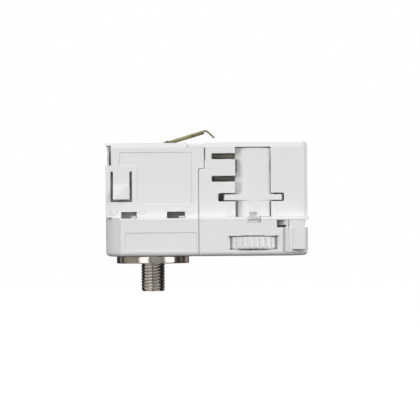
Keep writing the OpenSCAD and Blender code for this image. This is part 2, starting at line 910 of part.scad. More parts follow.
module selector_wheel() {
  lobe = 1.45;
  color(white) at_drum() translate([0, 0, wheel_low]) difference() {
    linear_extrude(wheel_t) union() {
      circle(wheel_r - 0.7);
      for (i = [0:wheel_ribs - 1]) rotate((i + 0.5) * 360 / wheel_ribs) translate([wheel_r - lobe, 0]) circle(lobe);
    }
    translate([0, 0, -past]) linear_extrude(wheel_t + 2 * past) hub_plan(0.03);
    // the hollows above and below the web
    for (z = [-past, 3.2]) translate([0, 0, z]) difference() {
      cylinder(r = wheel_r - 3, h = wheel_t - 3.2 + past);
      translate([0, 0, -past]) cylinder(r = 7, h = wheel_t + 2 * past);
    }
  }
}

// Slip ring round the shaft's foot.
module slip_ring() {
  translate([0, 0, ring_low]) difference() {
    cylinder(r = 6, h = ring_high - ring_low);
    translate([0, 0, -past]) cylinder(r = shaft_r - 0.3, h = base_h);
  }
}

// The strips that run up the shaft from the ring, one for each circuit.
module contact_strips(reach) {
  heights = [high_blade, low_blade, high_blade];
  angles = [0, 60, -60];
  for (i = [0:2]) rotate(blade_parked + lock_turn + angles[i]) block(
    [shaft_r - 0.05 - strip_t, -strip_w / 2, ring_low + 0.6],
    [reach, strip_w / 2, ledge_z + heights[i] + 0.9]
  );
}

module selector_contact() {
  color(brass) at_drum() {
    slip_ring();
    intersection() {
      contact_strips(shaft_r);
      cylinder(r = shaft_r - 0.05, h = top_z);
    }
  }
}

module selector_shaft() {
  color(white) at_drum() difference() {
    union() {
      translate([0, 0, base_z + 0.9]) cylinder(r = 2, h = wheel_high - base_z);
      translate([0, 0, wheel_low]) linear_extrude(wheel_t) hub_plan(0);
      translate([0, 0, wheel_high - eps]) cylinder(r = shaft_r, h = shaft_top - wheel_high + eps);
    }
    slip_ring();
    contact_strips(shaft_r + past);
  }
}

module bearing_plate() {
  color(white) difference() {
    union() {
      block([post_x + 2.7, -tub_y + 0.2, plate_low], [drum_x + 6, tub_y - 0.2, plate_high]);
      at_drum() intersection() {
        block([0, -5.6, plate_low], [base_w, 5.6, plate_high]);
        cylinder(r = end_wall_r - 0.3, h = ledge_z);
      }
    }
    at_drum() cylinder(r = core_r, h = ledge_z);
  }
}

module line_brush() {
  color(brass) {
    block([post_x + 0.3, brush_y, brush_low], [drum_x + 2, brush_y + 0.5, brush_low + brush_h]);
    block([post_x + 0.3, brush_y - 1, brush_low], [post_x + 2, brush_y + 0.5, brush_low + 0.5]);
  }
}

module neutral_spring() {
  back = -inner_y;
  color(brass) difference() {
    linear_extrude_between(nose_low, nose_high) polygon([
      [drum_x - 18.8, back], [drum_x - 8.6, back], [drum_x - 7, back + 0.35],
      [drum_x - 6.9, back + 0.85], [drum_x - 7.4, back + 0.95], [drum_x - 8.8, back + 0.45],
      [drum_x - 18.8, back + 0.45]
    ]);
    translate([stud_x, 0, neutral_mid]) rotate([90, 0, 0]) cylinder(r = 0.85, h = base_w);
  }
}

module linear_extrude_between(z0, z1) {
  translate([0, 0, z0]) linear_extrude(z1 - z0) children();
}

// Folded earth spring: the leaf, its turned-down sides, the tip arm and the hooked root.
module earth_spring() {
  root = [leaf_x, leaf_root_z + 0.3];
  rise = atan2(apex[1] - root[1], apex[0] - root[0]);
  leaf_l = norm(apex - root);
  dip = atan2(apex[1] - leaf_tip[1], leaf_tip[0] - apex[0]);
  tip_l = norm(leaf_tip - apex);
  hook_l = 3.8;
  side_from = 3.2;
  side_to = leaf_l - 0.6;
  color(bronze) {
    run_along_y(leaf_w) {
      translate(root) rotate(rise) translate([0, -leaf_t]) square([leaf_l - leaf_t, leaf_t]);
      translate(apex) rotate(-dip) translate([leaf_t, -leaf_t]) square([tip_l - leaf_t, leaf_t]);
      translate(apex - leaf_t * [0.55, 1.15]) circle(leaf_t);
      translate(apex + leaf_t * [0.1, -1.15]) circle(leaf_t);
    }
    for (s = [-1, 1]) translate([0, s * (leaf_w - leaf_t) / 2, 0]) run_along_y(leaf_t)
      translate(root) rotate(rise) polygon([
        [side_from, -eps], [side_to, -eps], [side_to, -leaf_side + 0.4],
        [side_to - 1, -leaf_side], [side_from + 2, -leaf_side], [side_from, -leaf_t]
      ]);
    run_along_y(leaf_w - 2) {
      translate(root + [0, -hook_l]) square([leaf_t, hook_l - leaf_t / 2]);
      translate(root + [0, -hook_l]) square([3, leaf_t]);
      translate(root + [leaf_t / 2, -leaf_t / 2]) circle(leaf_t / 2);
    }
  }
}

module nipple() {
  chamfer = 0.6;
  half = nipple_d / 2;
  color(nickel) rotate_extrude() polygon([
    [nipple_bore / 2, -nipple_l], [half - chamfer, -nipple_l], [half, -nipple_l + chamfer],
    [half, 0], [flange_d / 2 - 0.4, 0], [flange_d / 2, 0.4], [flange_d / 2, flange_t - 0.2],
    [flange_d / 2 - 0.2, flange_t], [half, flange_t], [half, nut_low + nut_h + 1],
    [half - chamfer, nut_low + nut_h + 1 + chamfer], [nipple_bore / 2, nut_low + nut_h + 1 + chamfer]
  ]);
}

tag_t = 0.6;
nut_low = tub_z + tag_t;

module nipple_nut() {
  color(steel) difference() {
    translate([0, 0, nut_low]) cylinder(d = nut_af / cos(30), h = nut_h, $fn = 6);
    cylinder(d = nipple_d, h = base_h);
  }
}

// Ring tag under the nut, with the tab that the bonding lead is crimped in.
module earth_tag() {
  color(brass) difference() {
    union() {
      translate([0, 0, tub_z]) cylinder(r = 8.6, h = tag_t);
      block([7, -2, tub_z], [13, 2, tub_z + tag_t]);
      block([11, -1.6, tub_z], [13, 1.6, tub_z + 1.6]);
    }
    cylinder(d = nipple_d, h = base_h);
  }
}

block_left = 4.2;
pole_z = ledge_z + 7.7;
block_up = 3.4;
block_low = pole_z - 4.6;
rib_y = 2.5;
rib_t = 1;
rib_h = 3.8;
poles = [-pole_pitch, 0, pole_pitch];
screw_places = [2.7, sleeve_l - 2.7];

// The sleeve's tube, along X.
module along_pole(y, r, from, to) {
  translate([from, y, pole_z]) rotate([0, 90, 0]) cylinder(r = r, h = to - from);
}

module terminal_block() {
  right = block_left + sleeve_l;
  color(white) difference() {
    union() {
      block([block_left, -inner_y + 0.1, block_low], [right, inner_y - 0.1, pole_z + block_up]);
      both_sides() block([block_left, -rib_y - rib_t, block_low - rib_h], [right, -rib_y, pole_z]);
    }
    for (y = poles) {
      along_pole(y, sleeve_r, block_left - past, right + past);
      for (x = screw_places) translate([block_left + x, y, 0]) cylinder(r = 1.6, h = pole_z);
    }
  }
}

module terminal_sleeves() {
  color(brass) for (y = poles) difference() {
    along_pole(y, sleeve_r, block_left, block_left + sleeve_l);
    along_pole(y, sleeve_r - 0.8, block_left - past, block_left + sleeve_l + past);
    for (x = screw_places) translate([block_left + x, y, 0]) cylinder(r = 1.3, h = pole_z);
  }
}

module terminal_screws() {
  color(steel) for (y = poles, x = screw_places) translate([block_left + x, y, 0]) difference() {
    translate([0, 0, pole_z - 4.2]) cylinder(r = 1.3, h = 4.2 - lead_r - 0.05);
    translate([0, 0, pole_z - 4.2]) cube([3, 0.5, 1], center = true);
  }
}

// A lead with round bends through the given points.
module lead(points) {
  for (i = [0:len(points) - 2]) {
    run = points[i + 1] - points[i];
    along = norm(run);
    translate(points[i]) rotate([0, acos(run[2] / along), atan2(run[1], run[0])])
      cylinder(r = lead_r, h = along, $fn = 24);
    if (i > 0) translate(points[i]) sphere(r = 1.03 * lead_r, $fn = 24);
  }
}

lead_from = block_left + sleeve_l - 4;

module line_lead() {
  x = post_x + 1.4;
  color("saddlebrown") lead([
    [lead_from, pole_pitch, pole_z], [x, pole_pitch, pole_z],
    [x, pole_pitch, brush_low + brush_h]
  ]);
}

module neutral_lead() {
  x = drum_x - 18;
  y = 1.2 - inner_y;
  color("steelblue") lead([
    [lead_from, -pole_pitch, pole_z], [x, -pole_pitch, pole_z],
    [x, y, pole_z], [x, y, nose_low]
  ]);
}

module earth_lead() {
  x = block_left + sleeve_l + 1.3;
  z = leaf_root_z - 9;
  root = leaf_x + 2.6;
  color("olivedrab") lead([
    [lead_from, 0, pole_z], [x, 0, pole_z], [x, 0, z], [root, 0, z], [root, 0, leaf_root_z - 4.4]
  ]);
}

module bond_lead() {
  x = block_left - 1.8;
  color("olivedrab") lead([
    [block_left + 4, 0, pole_z], [x, 0, pole_z], [x, 0, pole_z - 7],
    [12, 0, tub_z + 8], [12, 0, tub_z + 1.7]
  ]);
}

wiring_housing();
contact_housing();
joining_clip();
left_base();
right_base();
contact_drum();
neutral_blade();
phase_blade_1();
phase_blade_2();
phase_blade_3();
lock_lever();
selector_wheel();
selector_shaft();
selector_contact();
bearing_plate();
detent_spring();
line_brush();
neutral_spring();
earth_spring();
nipple();
nipple_nut();
earth_tag();
terminal_block();
terminal_sleeves();
terminal_screws();
line_lead();
neutral_lead();
earth_lead();
bond_lead();
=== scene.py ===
import math

import bpy
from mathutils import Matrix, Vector


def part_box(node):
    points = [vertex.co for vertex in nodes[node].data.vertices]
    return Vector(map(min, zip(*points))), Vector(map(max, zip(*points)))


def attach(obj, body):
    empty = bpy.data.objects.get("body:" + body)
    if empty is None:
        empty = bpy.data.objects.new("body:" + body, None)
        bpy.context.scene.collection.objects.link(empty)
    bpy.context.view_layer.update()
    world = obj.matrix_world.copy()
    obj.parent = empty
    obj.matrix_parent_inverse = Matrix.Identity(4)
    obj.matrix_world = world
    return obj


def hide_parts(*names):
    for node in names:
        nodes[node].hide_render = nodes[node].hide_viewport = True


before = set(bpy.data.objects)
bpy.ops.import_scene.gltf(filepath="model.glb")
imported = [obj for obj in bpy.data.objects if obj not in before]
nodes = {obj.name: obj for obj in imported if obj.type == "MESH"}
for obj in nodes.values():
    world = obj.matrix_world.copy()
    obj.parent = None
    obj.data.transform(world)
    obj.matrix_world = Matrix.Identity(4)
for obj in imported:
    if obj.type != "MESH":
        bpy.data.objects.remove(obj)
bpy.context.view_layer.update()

# Looks of the track light adapter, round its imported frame. Shapes are drawn in millimetres,
# and mm turns them into Blender's metres.
mm = 0.001

# The photograph's width in pixels, and the millimetres that one of them spans.
photo_width = 420
pixel = 0.4215

# Where the upright axis of the drum, the lever and the wheel stands.
drum_x = 42.3

# In how many steps a large round is turned.
round_steps = 176


# Camera: the long lens in front of the adapter, with the photograph's small roll.
def place_camera():
    aim = Vector((24.19, 0, 22.19)) * mm
    away = 1.8
    tilt = math.radians(0.3)
    roll = math.radians(0.45)
    sensor = 36
    lens = bpy.data.cameras.new("front_lens")
    lens.lens = sensor * away / (photo_width * pixel * mm)
    lens.clip_start = 0.01
    lens.clip_end = 50
    eye = bpy.data.objects.new("front_camera", lens)
    bpy.context.scene.collection.objects.link(eye)
    eye.location = aim + Vector((0, -math.cos(tilt), math.sin(tilt))) * away
    turn = (aim - eye.location).to_track_quat("-Z", "Y").to_euler()
    turn.rotate_axis("Z", -roll)
    eye.rotation_euler = turn
    bpy.context.scene.camera = eye


# A soft lamp on a ring round the body, aimed at its middle. Its direction and height are in
# degrees, its distance and size in metres, and its power in watts.
def soft_lamp(name, azimuth, height, away, size, power):
    lamp = bpy.data.lights.new(name, "AREA")
    lamp.shape = "RECTANGLE"
    lamp.size, lamp.size_y = size
    lamp.energy = power
    holder = bpy.data.objects.new(name, lamp)
    holder.visible_glossy = False
    bpy.context.scene.collection.objects.link(holder)
    side = math.radians(azimuth)
    rise = math.radians(height)
    level = math.cos(rise)
    back = Vector((math.sin(side) * level, -math.cos(side) * level, math.sin(rise)))
    body_middle = Vector((0.023, 0, 0.022))
    holder.location = body_middle + back * away
    holder.rotation_euler = (-back).to_track_quat("-Z", "Y").to_euler()


# A painted reflection: a glowing card that only polished surfaces see; it lights nothing and
# casts no shadow. Its place and size are in metres.
def painted_reflection_card(name, place, turn, size, colour):
    bpy.ops.mesh.primitive_plane_add(size=1, location=place, rotation=turn)
    card = bpy.context.object
    card.name = name
    card.scale = (*size, 1)
    finish = bpy.data.materials.new(name)
    finish.use_nodes = True
    tree = finish.node_tree
    tree.nodes.clear()
    glow = tree.nodes.new("ShaderNodeEmission")
    glow.inputs["Color"].default_value = (*colour, 1)
    out = tree.nodes.new("ShaderNodeOutputMaterial")
    tree.links.new(glow.outputs[0], out.inputs["Surface"])
    card.data.materials.append(finish)
    card.visible_camera = False
    card.visible_diffuse = False
    card.visible_shadow = False
    card.visible_transmission = False


# An upright painted-reflection card on a ring a metre away, between two directions in
# degrees.
def upright_reflection_card(name, start, end, colour):
    ring_x, middle_z, tall = 0.01, 0.5, 1.2
    middle = math.radians((start + end) / 2)
    place = (ring_x + math.sin(middle), -math.cos(middle), middle_z)
    width = 2 * math.tan(math.radians(end - start) / 2)
    painted_reflection_card(name, place, (math.pi / 2, 0, middle), (width, tall), colour)


# A level painted-reflection card under the nipple, for the lower flanks of its thread.
def level_reflection_card(name, x, y, size, colour):
    painted_reflection_card(name, (x, y, -0.06), (0, 0, 0), size, colour)


# One for what the camera or a polished surface looks at, nought for the rest.
def looked_at(tree, path):
    seen = tree.nodes.new("ShaderNodeMath")
    seen.operation = "MAXIMUM"
    tree.links.new(path.outputs["Is Camera Ray"], seen.inputs[0])
    tree.links.new(path.outputs["Is Glossy Ray"], seen.inputs[1])
    return seen.outputs[0]


# A white surround for the camera and for metal. All else gets a soft light that rises from
# nought just below the horizon to its full strength overhead.
def light_surround():
    world = bpy.data.worlds.new("pale_studio")
    bpy.context.scene.world = world
    world.use_nodes = True
    tree = world.node_tree
    links = tree.links
    tree.nodes.clear()
    white = tree.nodes.new("ShaderNodeBackground")
    white.inputs["Color"].default_value = (1, 1, 1, 1)
    white.inputs["Strength"].default_value = 1
    soft = tree.nodes.new("ShaderNodeBackground")
    soft.inputs["Color"].default_value = (1, 1, 1, 1)
    where = tree.nodes.new("ShaderNodeTexCoord")
    split = tree.nodes.new("ShaderNodeSeparateXYZ")
    links.new(where.outputs["Generated"], split.inputs[0])
    height = tree.nodes.new("ShaderNodeMapRange")
    height.inputs["From Min"].default_value = -0.15
    height.inputs["From Max"].default_value = 1
    height.inputs["To Min"].default_value = 0
    height.inputs["To Max"].default_value = 0.52
    links.new(split.outputs["Z"], height.inputs["Value"])
    links.new(height.outputs["Result"], soft.inputs["Strength"])
    path = tree.nodes.new("ShaderNodeLightPath")
    through = tree.nodes.new("ShaderNodeMath")
    through.operation = "MAXIMUM"
    links.new(looked_at(tree, path), through.inputs[0])
    links.new(path.outputs["Is Transmission Ray"], through.inputs[1])
    mix = tree.nodes.new("ShaderNodeMixShader")
    links.new(through.outputs[0], mix.inputs[0])
    links.new(soft.outputs[0], mix.inputs[1])
    links.new(white.outputs[0], mix.inputs[2])
    out = tree.nodes.new("ShaderNodeOutputWorld")
    links.new(mix.outputs[0], out.inputs["Surface"])


# Soft boxes light the plastic. The cards are painted reflections that give the metal its
# bright and dark bands.
def light_studio():
    bpy.context.scene.view_settings.view_transform = "Standard"
    light_surround()
    soft_lamp("left_softbox", -60, 12, 1.3, (0.7, 0.9), 11)
    soft_lamp("right_softbox", 55, 12, 1.3, (0.75, 0.9), 12.6)
    soft_lamp("front_softbox", -5, 8, 1.5, (0.8, 0.8), 4)
    soft_lamp("top_softbox", 10, 80, 1.2, (0.8, 0.8), 0.6)
    soft_lamp("back_softbox", 172, 8, 1.6, (0.8, 0.8), 13)
    # Painted reflections round the body, bright and dark bands by direction; they light
    # nothing.
    upright_reflection_card("left_back_dark_reflection", -175, -127, (0.04, 0.04, 0.04))
    upright_reflection_card("left_streak", -127, -119, (0.5, 0.46, 0.42))
    upright_reflection_card("left_dark_reflection", -119, -105, (0.07, 0.065, 0.06))
    upright_reflection_card("left_warm_reflection", -105, -58, (0.42, 0.38, 0.31))
    upright_reflection_card("left_edge", -58, -43, (0.33, 0.29, 0.27))
    upright_reflection_card("left_bright_reflection", -43, -14, (2.2, 2.2, 2.2))
    upright_reflection_card("front_edge", -14, -5, (0.2, 0.2, 0.21))
    upright_reflection_card("front_mid_reflection", -5, 24, (0.42, 0.41, 0.38))
    upright_reflection_card("front_shade", 24, 39, (0.33, 0.31, 0.28))
    upright_reflection_card("right_bright_reflection", 39, 72, (2.2, 2.2, 2.2))
    upright_reflection_card("right_dark_reflection", 72, 99, (0.06, 0.045, 0.04))
    upright_reflection_card("right_streak", 99, 109, (0.32, 0.26, 0.26))
    upright_reflection_card("right_shade", 109, 125, (0.06, 0.05, 0.05))
    upright_reflection_card("right_glint", 125, 151, (0.45, 0.4, 0.37))
    upright_reflection_card("right_back_dark_reflection", 151, 178, (0.04, 0.04, 0.04))
    # Painted reflections below the nipple, for the lower flanks of its thread.
    level_reflection_card("low_card", -0.258, -0.24, (0.5, 0.52), (0.72, 0.7, 0.67))
    level_reflection_card("low_gap", -0.002, -0.24, (0.012, 0.52), (0.12, 0.12, 0.13))
    level_reflection_card("low_shade", 0.024, -0.24, (0.04, 0.52), (0.62, 0.6, 0.57))
    level_reflection_card("low_dark_reflection", 0.444, -0.24, (0.8, 0.52), (0.08, 0.07, 0.07))
    level_reflection_card("low_back_dark_reflection", 0, 1.52, (3, 3), (0.03, 0.03, 0.03))


# The pale floor lies well below, as the adapter hangs in its track. For the camera and for
# metal it partly glows, so that it is as white as the surround and still takes the shadow.
def lay_floor():
    glowing_part = 0.6
    bpy.ops.mesh.primitive_plane_add(size=8, location=(0.02, 0, -0.1))
    floor = bpy.context.object
    floor.name = "pale_floor"
    finish = bpy.data.materials.new("pale_floor")
    finish.use_nodes = True
    tree = finish.node_tree
    links = tree.links
    shade = tree.nodes["Principled BSDF"]
    shade.inputs["Base Color"].default_value = (0.9, 0.9, 0.9, 1)
    shade.inputs["Roughness"].default_value = 0.9
    shade.inputs["Specular IOR Level"].default_value = 0
    glow = tree.nodes.new("ShaderNodeEmission")
    glow.inputs["Color"].default_value = (1, 1, 1, 1)
    glow.inputs["Strength"].default_value = 1.5
    part = tree.nodes.new("ShaderNodeMath")
    part.operation = "MULTIPLY"
    part.inputs[1].default_value = glowing_part
    links.new(looked_at(tree, tree.nodes.new("ShaderNodeLightPath")), part.inputs[0])
    mix = tree.nodes.new("ShaderNodeMixShader")
    links.new(part.outputs[0], mix.inputs[0])
    links.new(shade.outputs[0], mix.inputs[1])
    links.new(glow.outputs[0], mix.inputs[2])
    links.new(mix.outputs[0], tree.nodes["Material Output"].inputs["Surface"])
    floor.data.materials.append(finish)
    floor.visible_diffuse = False


# A new finish, its shader, and the place on the piece that its patterns follow.
def start_finish(name):
    finish = bpy.data.materials.new(name)
    finish.use_nodes = True
    place = add_node(finish, "ShaderNodeTexCoord")
    return finish, finish.node_tree.nodes["Principled BSDF"], place.outputs["Object"]


def add_node(finish, kind):
    return finish.node_tree.nodes.new(kind)


# A cloudy pattern, finer as its scale grows.
def grain(finish, place, scale, detail=2):
    noise = add_node(finish, "ShaderNodeTexNoise")
    noise.inputs["Scale"].default_value = scale
    noise.inputs["Detail"].default_value = detail
    finish.node_tree.links.new(place, noise.inputs["Vector"])
    return noise.outputs["Fac"]


# Spreads a pattern's middle range over low to high.
def spread(finish, value, low, high):
    span = add_node(finish, "ShaderNodeMapRange")
    span.inputs["From Min"].default_value = 0.3
    span.inputs["From Max"].default_value = 0.7
    span.inputs["To Min"].default_value = low
    span.inputs["To Max"].default_value = high
    finish.node_tree.links.new(value, span.inputs["Value"])
    return span.outputs["Result"]


# A colour that wanders between two close tones.
def two_tones(finish, value, first, second):
    ramp = add_node(finish, "ShaderNodeValToRGB")
    ramp.color_ramp.elements[0].position = 0.3
    ramp.color_ramp.elements[0].color = (*first, 1)
    ramp.color_ramp.elements[1].position = 0.7
    ramp.color_ramp.elements[1].color = (*second, 1)
    finish.node_tree.links.new(value, ramp.inputs["Fac"])
    return ramp.outputs["Color"]


# Edges broken by a small radius, with the grain's relief on the whole surface.
def soft_edge(finish, shade, value, radius, depth):
    links = finish.node_tree.links
    edge = add_node(finish, "ShaderNodeBevel")
    edge.samples = 6
    edge.inputs["Radius"].default_value = radius * mm
    relief = add_node(finish, "ShaderNodeBump")
    relief.inputs["Strength"].default_value = 0.5
    relief.inputs["Distance"].default_value = depth * mm
    links.new(value, relief.inputs["Height"])
    links.new(edge.outputs["Normal"], relief.inputs["Normal"])
    links.new(relief.outputs["Normal"], shade.inputs["Normal"])


# Moulded plastic with a fine eroded grain, and barely cloudy in its colour.
def moulded_plastic(name, colour, rough=0.42, radius=0.2, depth=0.012):
    finish, shade, place = start_finish(name)
    links = finish.node_tree.links
    shadow = tuple(part * 0.975 for part in colour)
    cloud = grain(finish, place, 55)
    links.new(two_tones(finish, cloud, shadow, colour), shade.inputs["Base Color"])
    fine = grain(finish, place, 2600, 3)
    links.new(spread(finish, fine, rough - 0.05, rough + 0.07), shade.inputs["Roughness"])
    soft_edge(finish, shade, fine, radius, depth)
    shade.inputs["IOR"].default_value = 1.5
    return finish


# Rolled metal, with patches of tarnish and fine streaks. The streaks are as many times
# narrower along X, Y and Z as the three numbers in narrower say.
def rolled_metal(name, bright, dull, rough, narrower=(1, 1, 1), depth=0.006, scale=900):
    finish, shade, place = start_finish(name)
    links = finish.node_tree.links
    lay = add_node(finish, "ShaderNodeMapping")
    lay.inputs["Scale"].default_value = narrower
    links.new(place, lay.inputs["Vector"])
    patches = grain(finish, place, 130, 4)
    links.new(two_tones(finish, patches, dull, bright), shade.inputs["Base Color"])
    streaks = grain(finish, lay.outputs["Vector"], scale, 3)
    links.new(spread(finish, streaks, rough - 0.06, rough + 0.12), shade.inputs["Roughness"])
    soft_edge(finish, shade, streaks, 0.08, depth)
    shade.inputs["Metallic"].default_value = 1
    return finish


# Bright nickel plate, slightly wavy as it lies on a turned part.
def polished_nickel():
    finish, shade, place = start_finish("polished_nickel")
    links = finish.node_tree.links
    patches = grain(finish, place, 160, 4)
    dull, bright = (0.47, 0.44, 0.41), (0.64, 0.61, 0.57)
    links.new(two_tones(finish, patches, dull, bright), shade.inputs["Base Color"])
    waves = grain(finish, place, 420, 3)
    links.new(spread(finish, waves, 0.1, 0.22), shade.inputs["Roughness"])
    soft_edge(finish, shade, waves, 0.12, 0.05)
    shade.inputs["Metallic"].default_value = 1
    return finish


# Puts a finish on CAD nodes.
def give(finish, *names):
    for name in names:
        mesh = nodes[name].data
        mesh.materials.clear()
        mesh.materials.append(finish)


# Finishes of the CAD nodes, which the copies that are shaped further take over. The nipple
# and the earth spring get theirs where they are modelled.
def finish_cad_nodes():
    white = (0.78, 0.78, 0.775)
    upper = moulded_plastic("upper_moulding", white)
    give(upper, "wiring_housing", "contact_housing", "joining_clip")
    base = moulded_plastic("base_moulding", white, 0.4)
    give(base, "left_base", "right_base", "bearing_plate")
    drum = moulded_plastic("drum_moulding", white, 0.36, 0.15, 0.006)
    give(drum, "contact_drum")
    lever = moulded_plastic("lever_moulding", white, 0.38, 0.07, 0.008)
    give(lever, "lock_lever", "selector_wheel", "selector_shaft")
    block = moulded_plastic("block_moulding", (0.74, 0.74, 0.71), 0.45, 0.15)
    give(block, "terminal_block")
    brass = rolled_metal("rolled_brass", (0.66, 0.50, 0.22), (0.52, 0.39, 0.17), 0.3)
    give(brass, "selector_contact", "line_brush", "earth_tag", "terminal_sleeves")
    # Blade brass in dull grey-dark tones: partly tarnish, partly painted shade, so that the
    # blades read dark in their slots.
    blade_tarnish_and_shade = rolled_metal(
        "brass_tarnish_and_painted_shade", (0.60, 0.57, 0.46), (0.34, 0.335, 0.315), 0.5, (1, 1, 6), 0.01,
    )
    give(blade_tarnish_and_shade, "neutral_blade", "phase_blade_1", "phase_blade_2", "phase_blade_3")
    # Bronze painted nearly black: where the neutral spring shows at the edge of the drum
    # window, its colour stands in for the shade there.
    bronze = rolled_metal("bronze_painted_nearly_black", (0.16, 0.15, 0.125), (0.09, 0.085, 0.075), 0.5)
    give(bronze, "neutral_spring")
    zinc = rolled_metal("zinc_plate", (0.62, 0.62, 0.60), (0.52, 0.52, 0.50), 0.32)
    give(zinc, "nipple_nut", "terminal_screws")
    steel = rolled_metal("spring_steel", (0.52, 0.52, 0.50), (0.42, 0.42, 0.40), 0.3)
    give(steel, "detent_spring")
    brown = moulded_plastic("brown_insulation", (0.20, 0.09, 0.04), 0.35, 0.1)
    give(brown, "line_lead")
    blue = moulded_plastic("blue_insulation", (0.04, 0.08, 0.18), 0.35, 0.1)
    give(blue, "neutral_lead")
    green = moulded_plastic("green_insulation", (0.16, 0.35, 0.06), 0.35, 0.1)
    give(green, "earth_lead", "bond_lead")


# Object mode, with nothing selected.
def put_down():
    if bpy.context.object and bpy.context.object.mode != "OBJECT":
        bpy.ops.object.mode_set(mode="OBJECT")
    bpy.ops.object.select_all(action="DESELECT")


def pick(piece):
    put_down()
    piece.select_set(True)
    bpy.context.view_layer.objects.active = piece


# A profile drawn point by point in the plane Y = 0, as X and Z in millimetres. It starts as
# a tiny plane that is merged to one point.
def trace_profile(name, points, closed):
    put_down()
    start = (points[0][0] * mm, 0, points[0][1] * mm)
    bpy.ops.mesh.primitive_plane_add(size=mm, location=start)
    piece = bpy.context.object
    piece.name = name
    bpy.ops.object.mode_set(mode="EDIT")
    bpy.ops.mesh.select_mode(type="VERT")
    bpy.ops.mesh.merge(type="CENTER")
    ends = list(points) + [points[0]] * closed
    for here, there in zip(ends, ends[1:]):
        step = ((there[0] - here[0]) * mm, 0, (there[1] - here[1]) * mm)
        bpy.ops.mesh.extrude_vertices_move(TRANSFORM_OT_translate={"value": step})
    bpy.ops.mesh.select_all(action="SELECT")
    bpy.ops.mesh.remove_doubles(threshold=0.002 * mm)
    bpy.ops.object.mode_set(mode="OBJECT")
    bpy.ops.object.transform_apply(location=True, rotation=True, scale=True)
    return piece


# Merges what meets and turns the faces outwards.
def close_up(piece, distance=0.002):
    pick(piece)
    bpy.ops.object.mode_set(mode="EDIT")
    bpy.ops.mesh.select_all(action="SELECT")
    bpy.ops.mesh.remove_doubles(threshold=distance * mm)
    bpy.ops.mesh.normals_make_consistent(inside=False)
    bpy.ops.object.mode_set(mode="OBJECT")


# Spins a profile once round an upright axis.
def turn_profile(piece, steps, centre=0):
    pick(piece)
    bpy.ops.object.mode_set(mode="EDIT")
    bpy.ops.mesh.select_all(action="SELECT")
    bpy.ops.mesh.spin(
        steps=steps, angle=2 * math.pi, center=(centre * mm, 0, 0), axis=(0, 0, 1),
    )
    bpy.ops.object.mode_set(mode="OBJECT")
    close_up(piece)


# Cuts the piece level at a height in millimetres and closes the cut.
def cut_level(piece, height, keep_above):
    pick(piece)
    bpy.ops.object.mode_set(mode="EDIT")
    bpy.ops.mesh.select_all(action="SELECT")
    bpy.ops.mesh.bisect(
        plane_co=(0, 0, height * mm), plane_no=(0, 0, 1), use_fill=True,
        clear_inner=keep_above, clear_outer=not keep_above, threshold=0.0001 * mm,
    )
    bpy.ops.object.mode_set(mode="OBJECT")


# Joins, cuts or trims the piece with another one, which is used up.
def work_with(piece, tool, operation):
    pick(piece)
    work = piece.modifiers.new("work", "BOOLEAN")
    work.operation = operation
    work.object = tool
    work.solver = "EXACT"
    bpy.ops.object.modifier_apply(modifier="work")
    used = tool.data
    bpy.data.objects.remove(tool)
    bpy.data.meshes.remove(used)


# A block between two corners in millimetres.
def straight_block(low, high):
    put_down()
    bpy.ops.mesh.primitive_cube_add(
        size=1, location=tuple((a + b) / 2 * mm for a, b in zip(low, high)),
        scale=tuple((b - a) * mm for a, b in zip(low, high)),
    )
    return bpy.context.object


def cut_recess(piece, low, high):
    work_with(piece, straight_block(low, high), "DIFFERENCE")


# Cuts the same recess at the front and, mirrored, at the back.
def cut_both_sides(piece, low, high):
    cut_recess(piece, low, high)
    cut_recess(piece, (low[0], -high[1], low[2]), (high[0], -low[1], high[2]))


def break_edges(piece, width, angle):
    pick(piece)
    edge = piece.modifiers.new("broken_edges", "BEVEL")
    edge.width = width * mm
    edge.segments = 2
    edge.limit_method = "ANGLE"
    edge.angle_limit = math.radians(angle)
    bpy.ops.object.modifier_apply(modifier="broken_edges")


def smooth(piece, angle):
    pick(piece)
    bpy.ops.object.shade_smooth_by_angle(angle=math.radians(angle))


# Smooth on the round places, and level on the large flat faces next to them.
def keep_flats(piece, angle):
    smooth(piece, angle)
    level = piece.modifiers.new("level_faces", "WEIGHTED_NORMAL")
    level.keep_sharp = True
    level.weight = 100
    bpy.ops.object.modifier_apply(modifier="level_faces")


# Moves what is selected in edit mode, in millimetres.
def shift(step):
    bpy.ops.transform.translate(value=tuple(part * mm for part in step))


# Selects the corners, or the edges, that a test picks by their places in millimetres.
def select_where(piece, test, kind="VERT"):
    bpy.ops.object.mode_set(mode="EDIT")
    bpy.ops.mesh.select_mode(type=kind)
    bpy.ops.mesh.select_all(action="DESELECT")
    bpy.ops.object.mode_set(mode="OBJECT")
    places = [corner.co / mm for corner in piece.data.vertices]
    if kind == "VERT":
        for corner, place in zip(piece.data.vertices, places):
            corner.select = test(place)
    else:
        for edge in piece.data.edges:
            edge.select = test(places[edge.vertices[0]], places[edge.vertices[1]])
    bpy.ops.object.mode_set(mode="EDIT")


# A thread whose profile is drawn from root to root and screwed along the tube.
def screwed_thread(crest, depth, pitch, low, high):
    root = crest - depth
    round_off = 0.06
    thread = trace_profile("thread", [
        (root, low - pitch), (root + round_off, low - 0.9 * pitch),
        (crest - round_off, low - 0.66 * pitch), (crest, low - 0.56 * pitch),
        (crest, low - 0.44 * pitch), (crest - round_off, low - 0.34 * pitch),
        (root + round_off, low - 0.1 * pitch), (root, low),
    ], False)
    pick(thread)
    screw = thread.modifiers.new("screw", "SCREW")
    screw.axis = "Z"
    screw.screw_offset = pitch * mm
    screw.iterations = math.ceil((high - low) / pitch) + 2
    screw.steps = screw.render_steps = 64
    bpy.ops.object.modifier_apply(modifier="screw")
    close_up(thread, 0.005)
    cut_level(thread, low, True)
    cut_level(thread, high, False)
    close_up(thread, 0.001)
    return thread


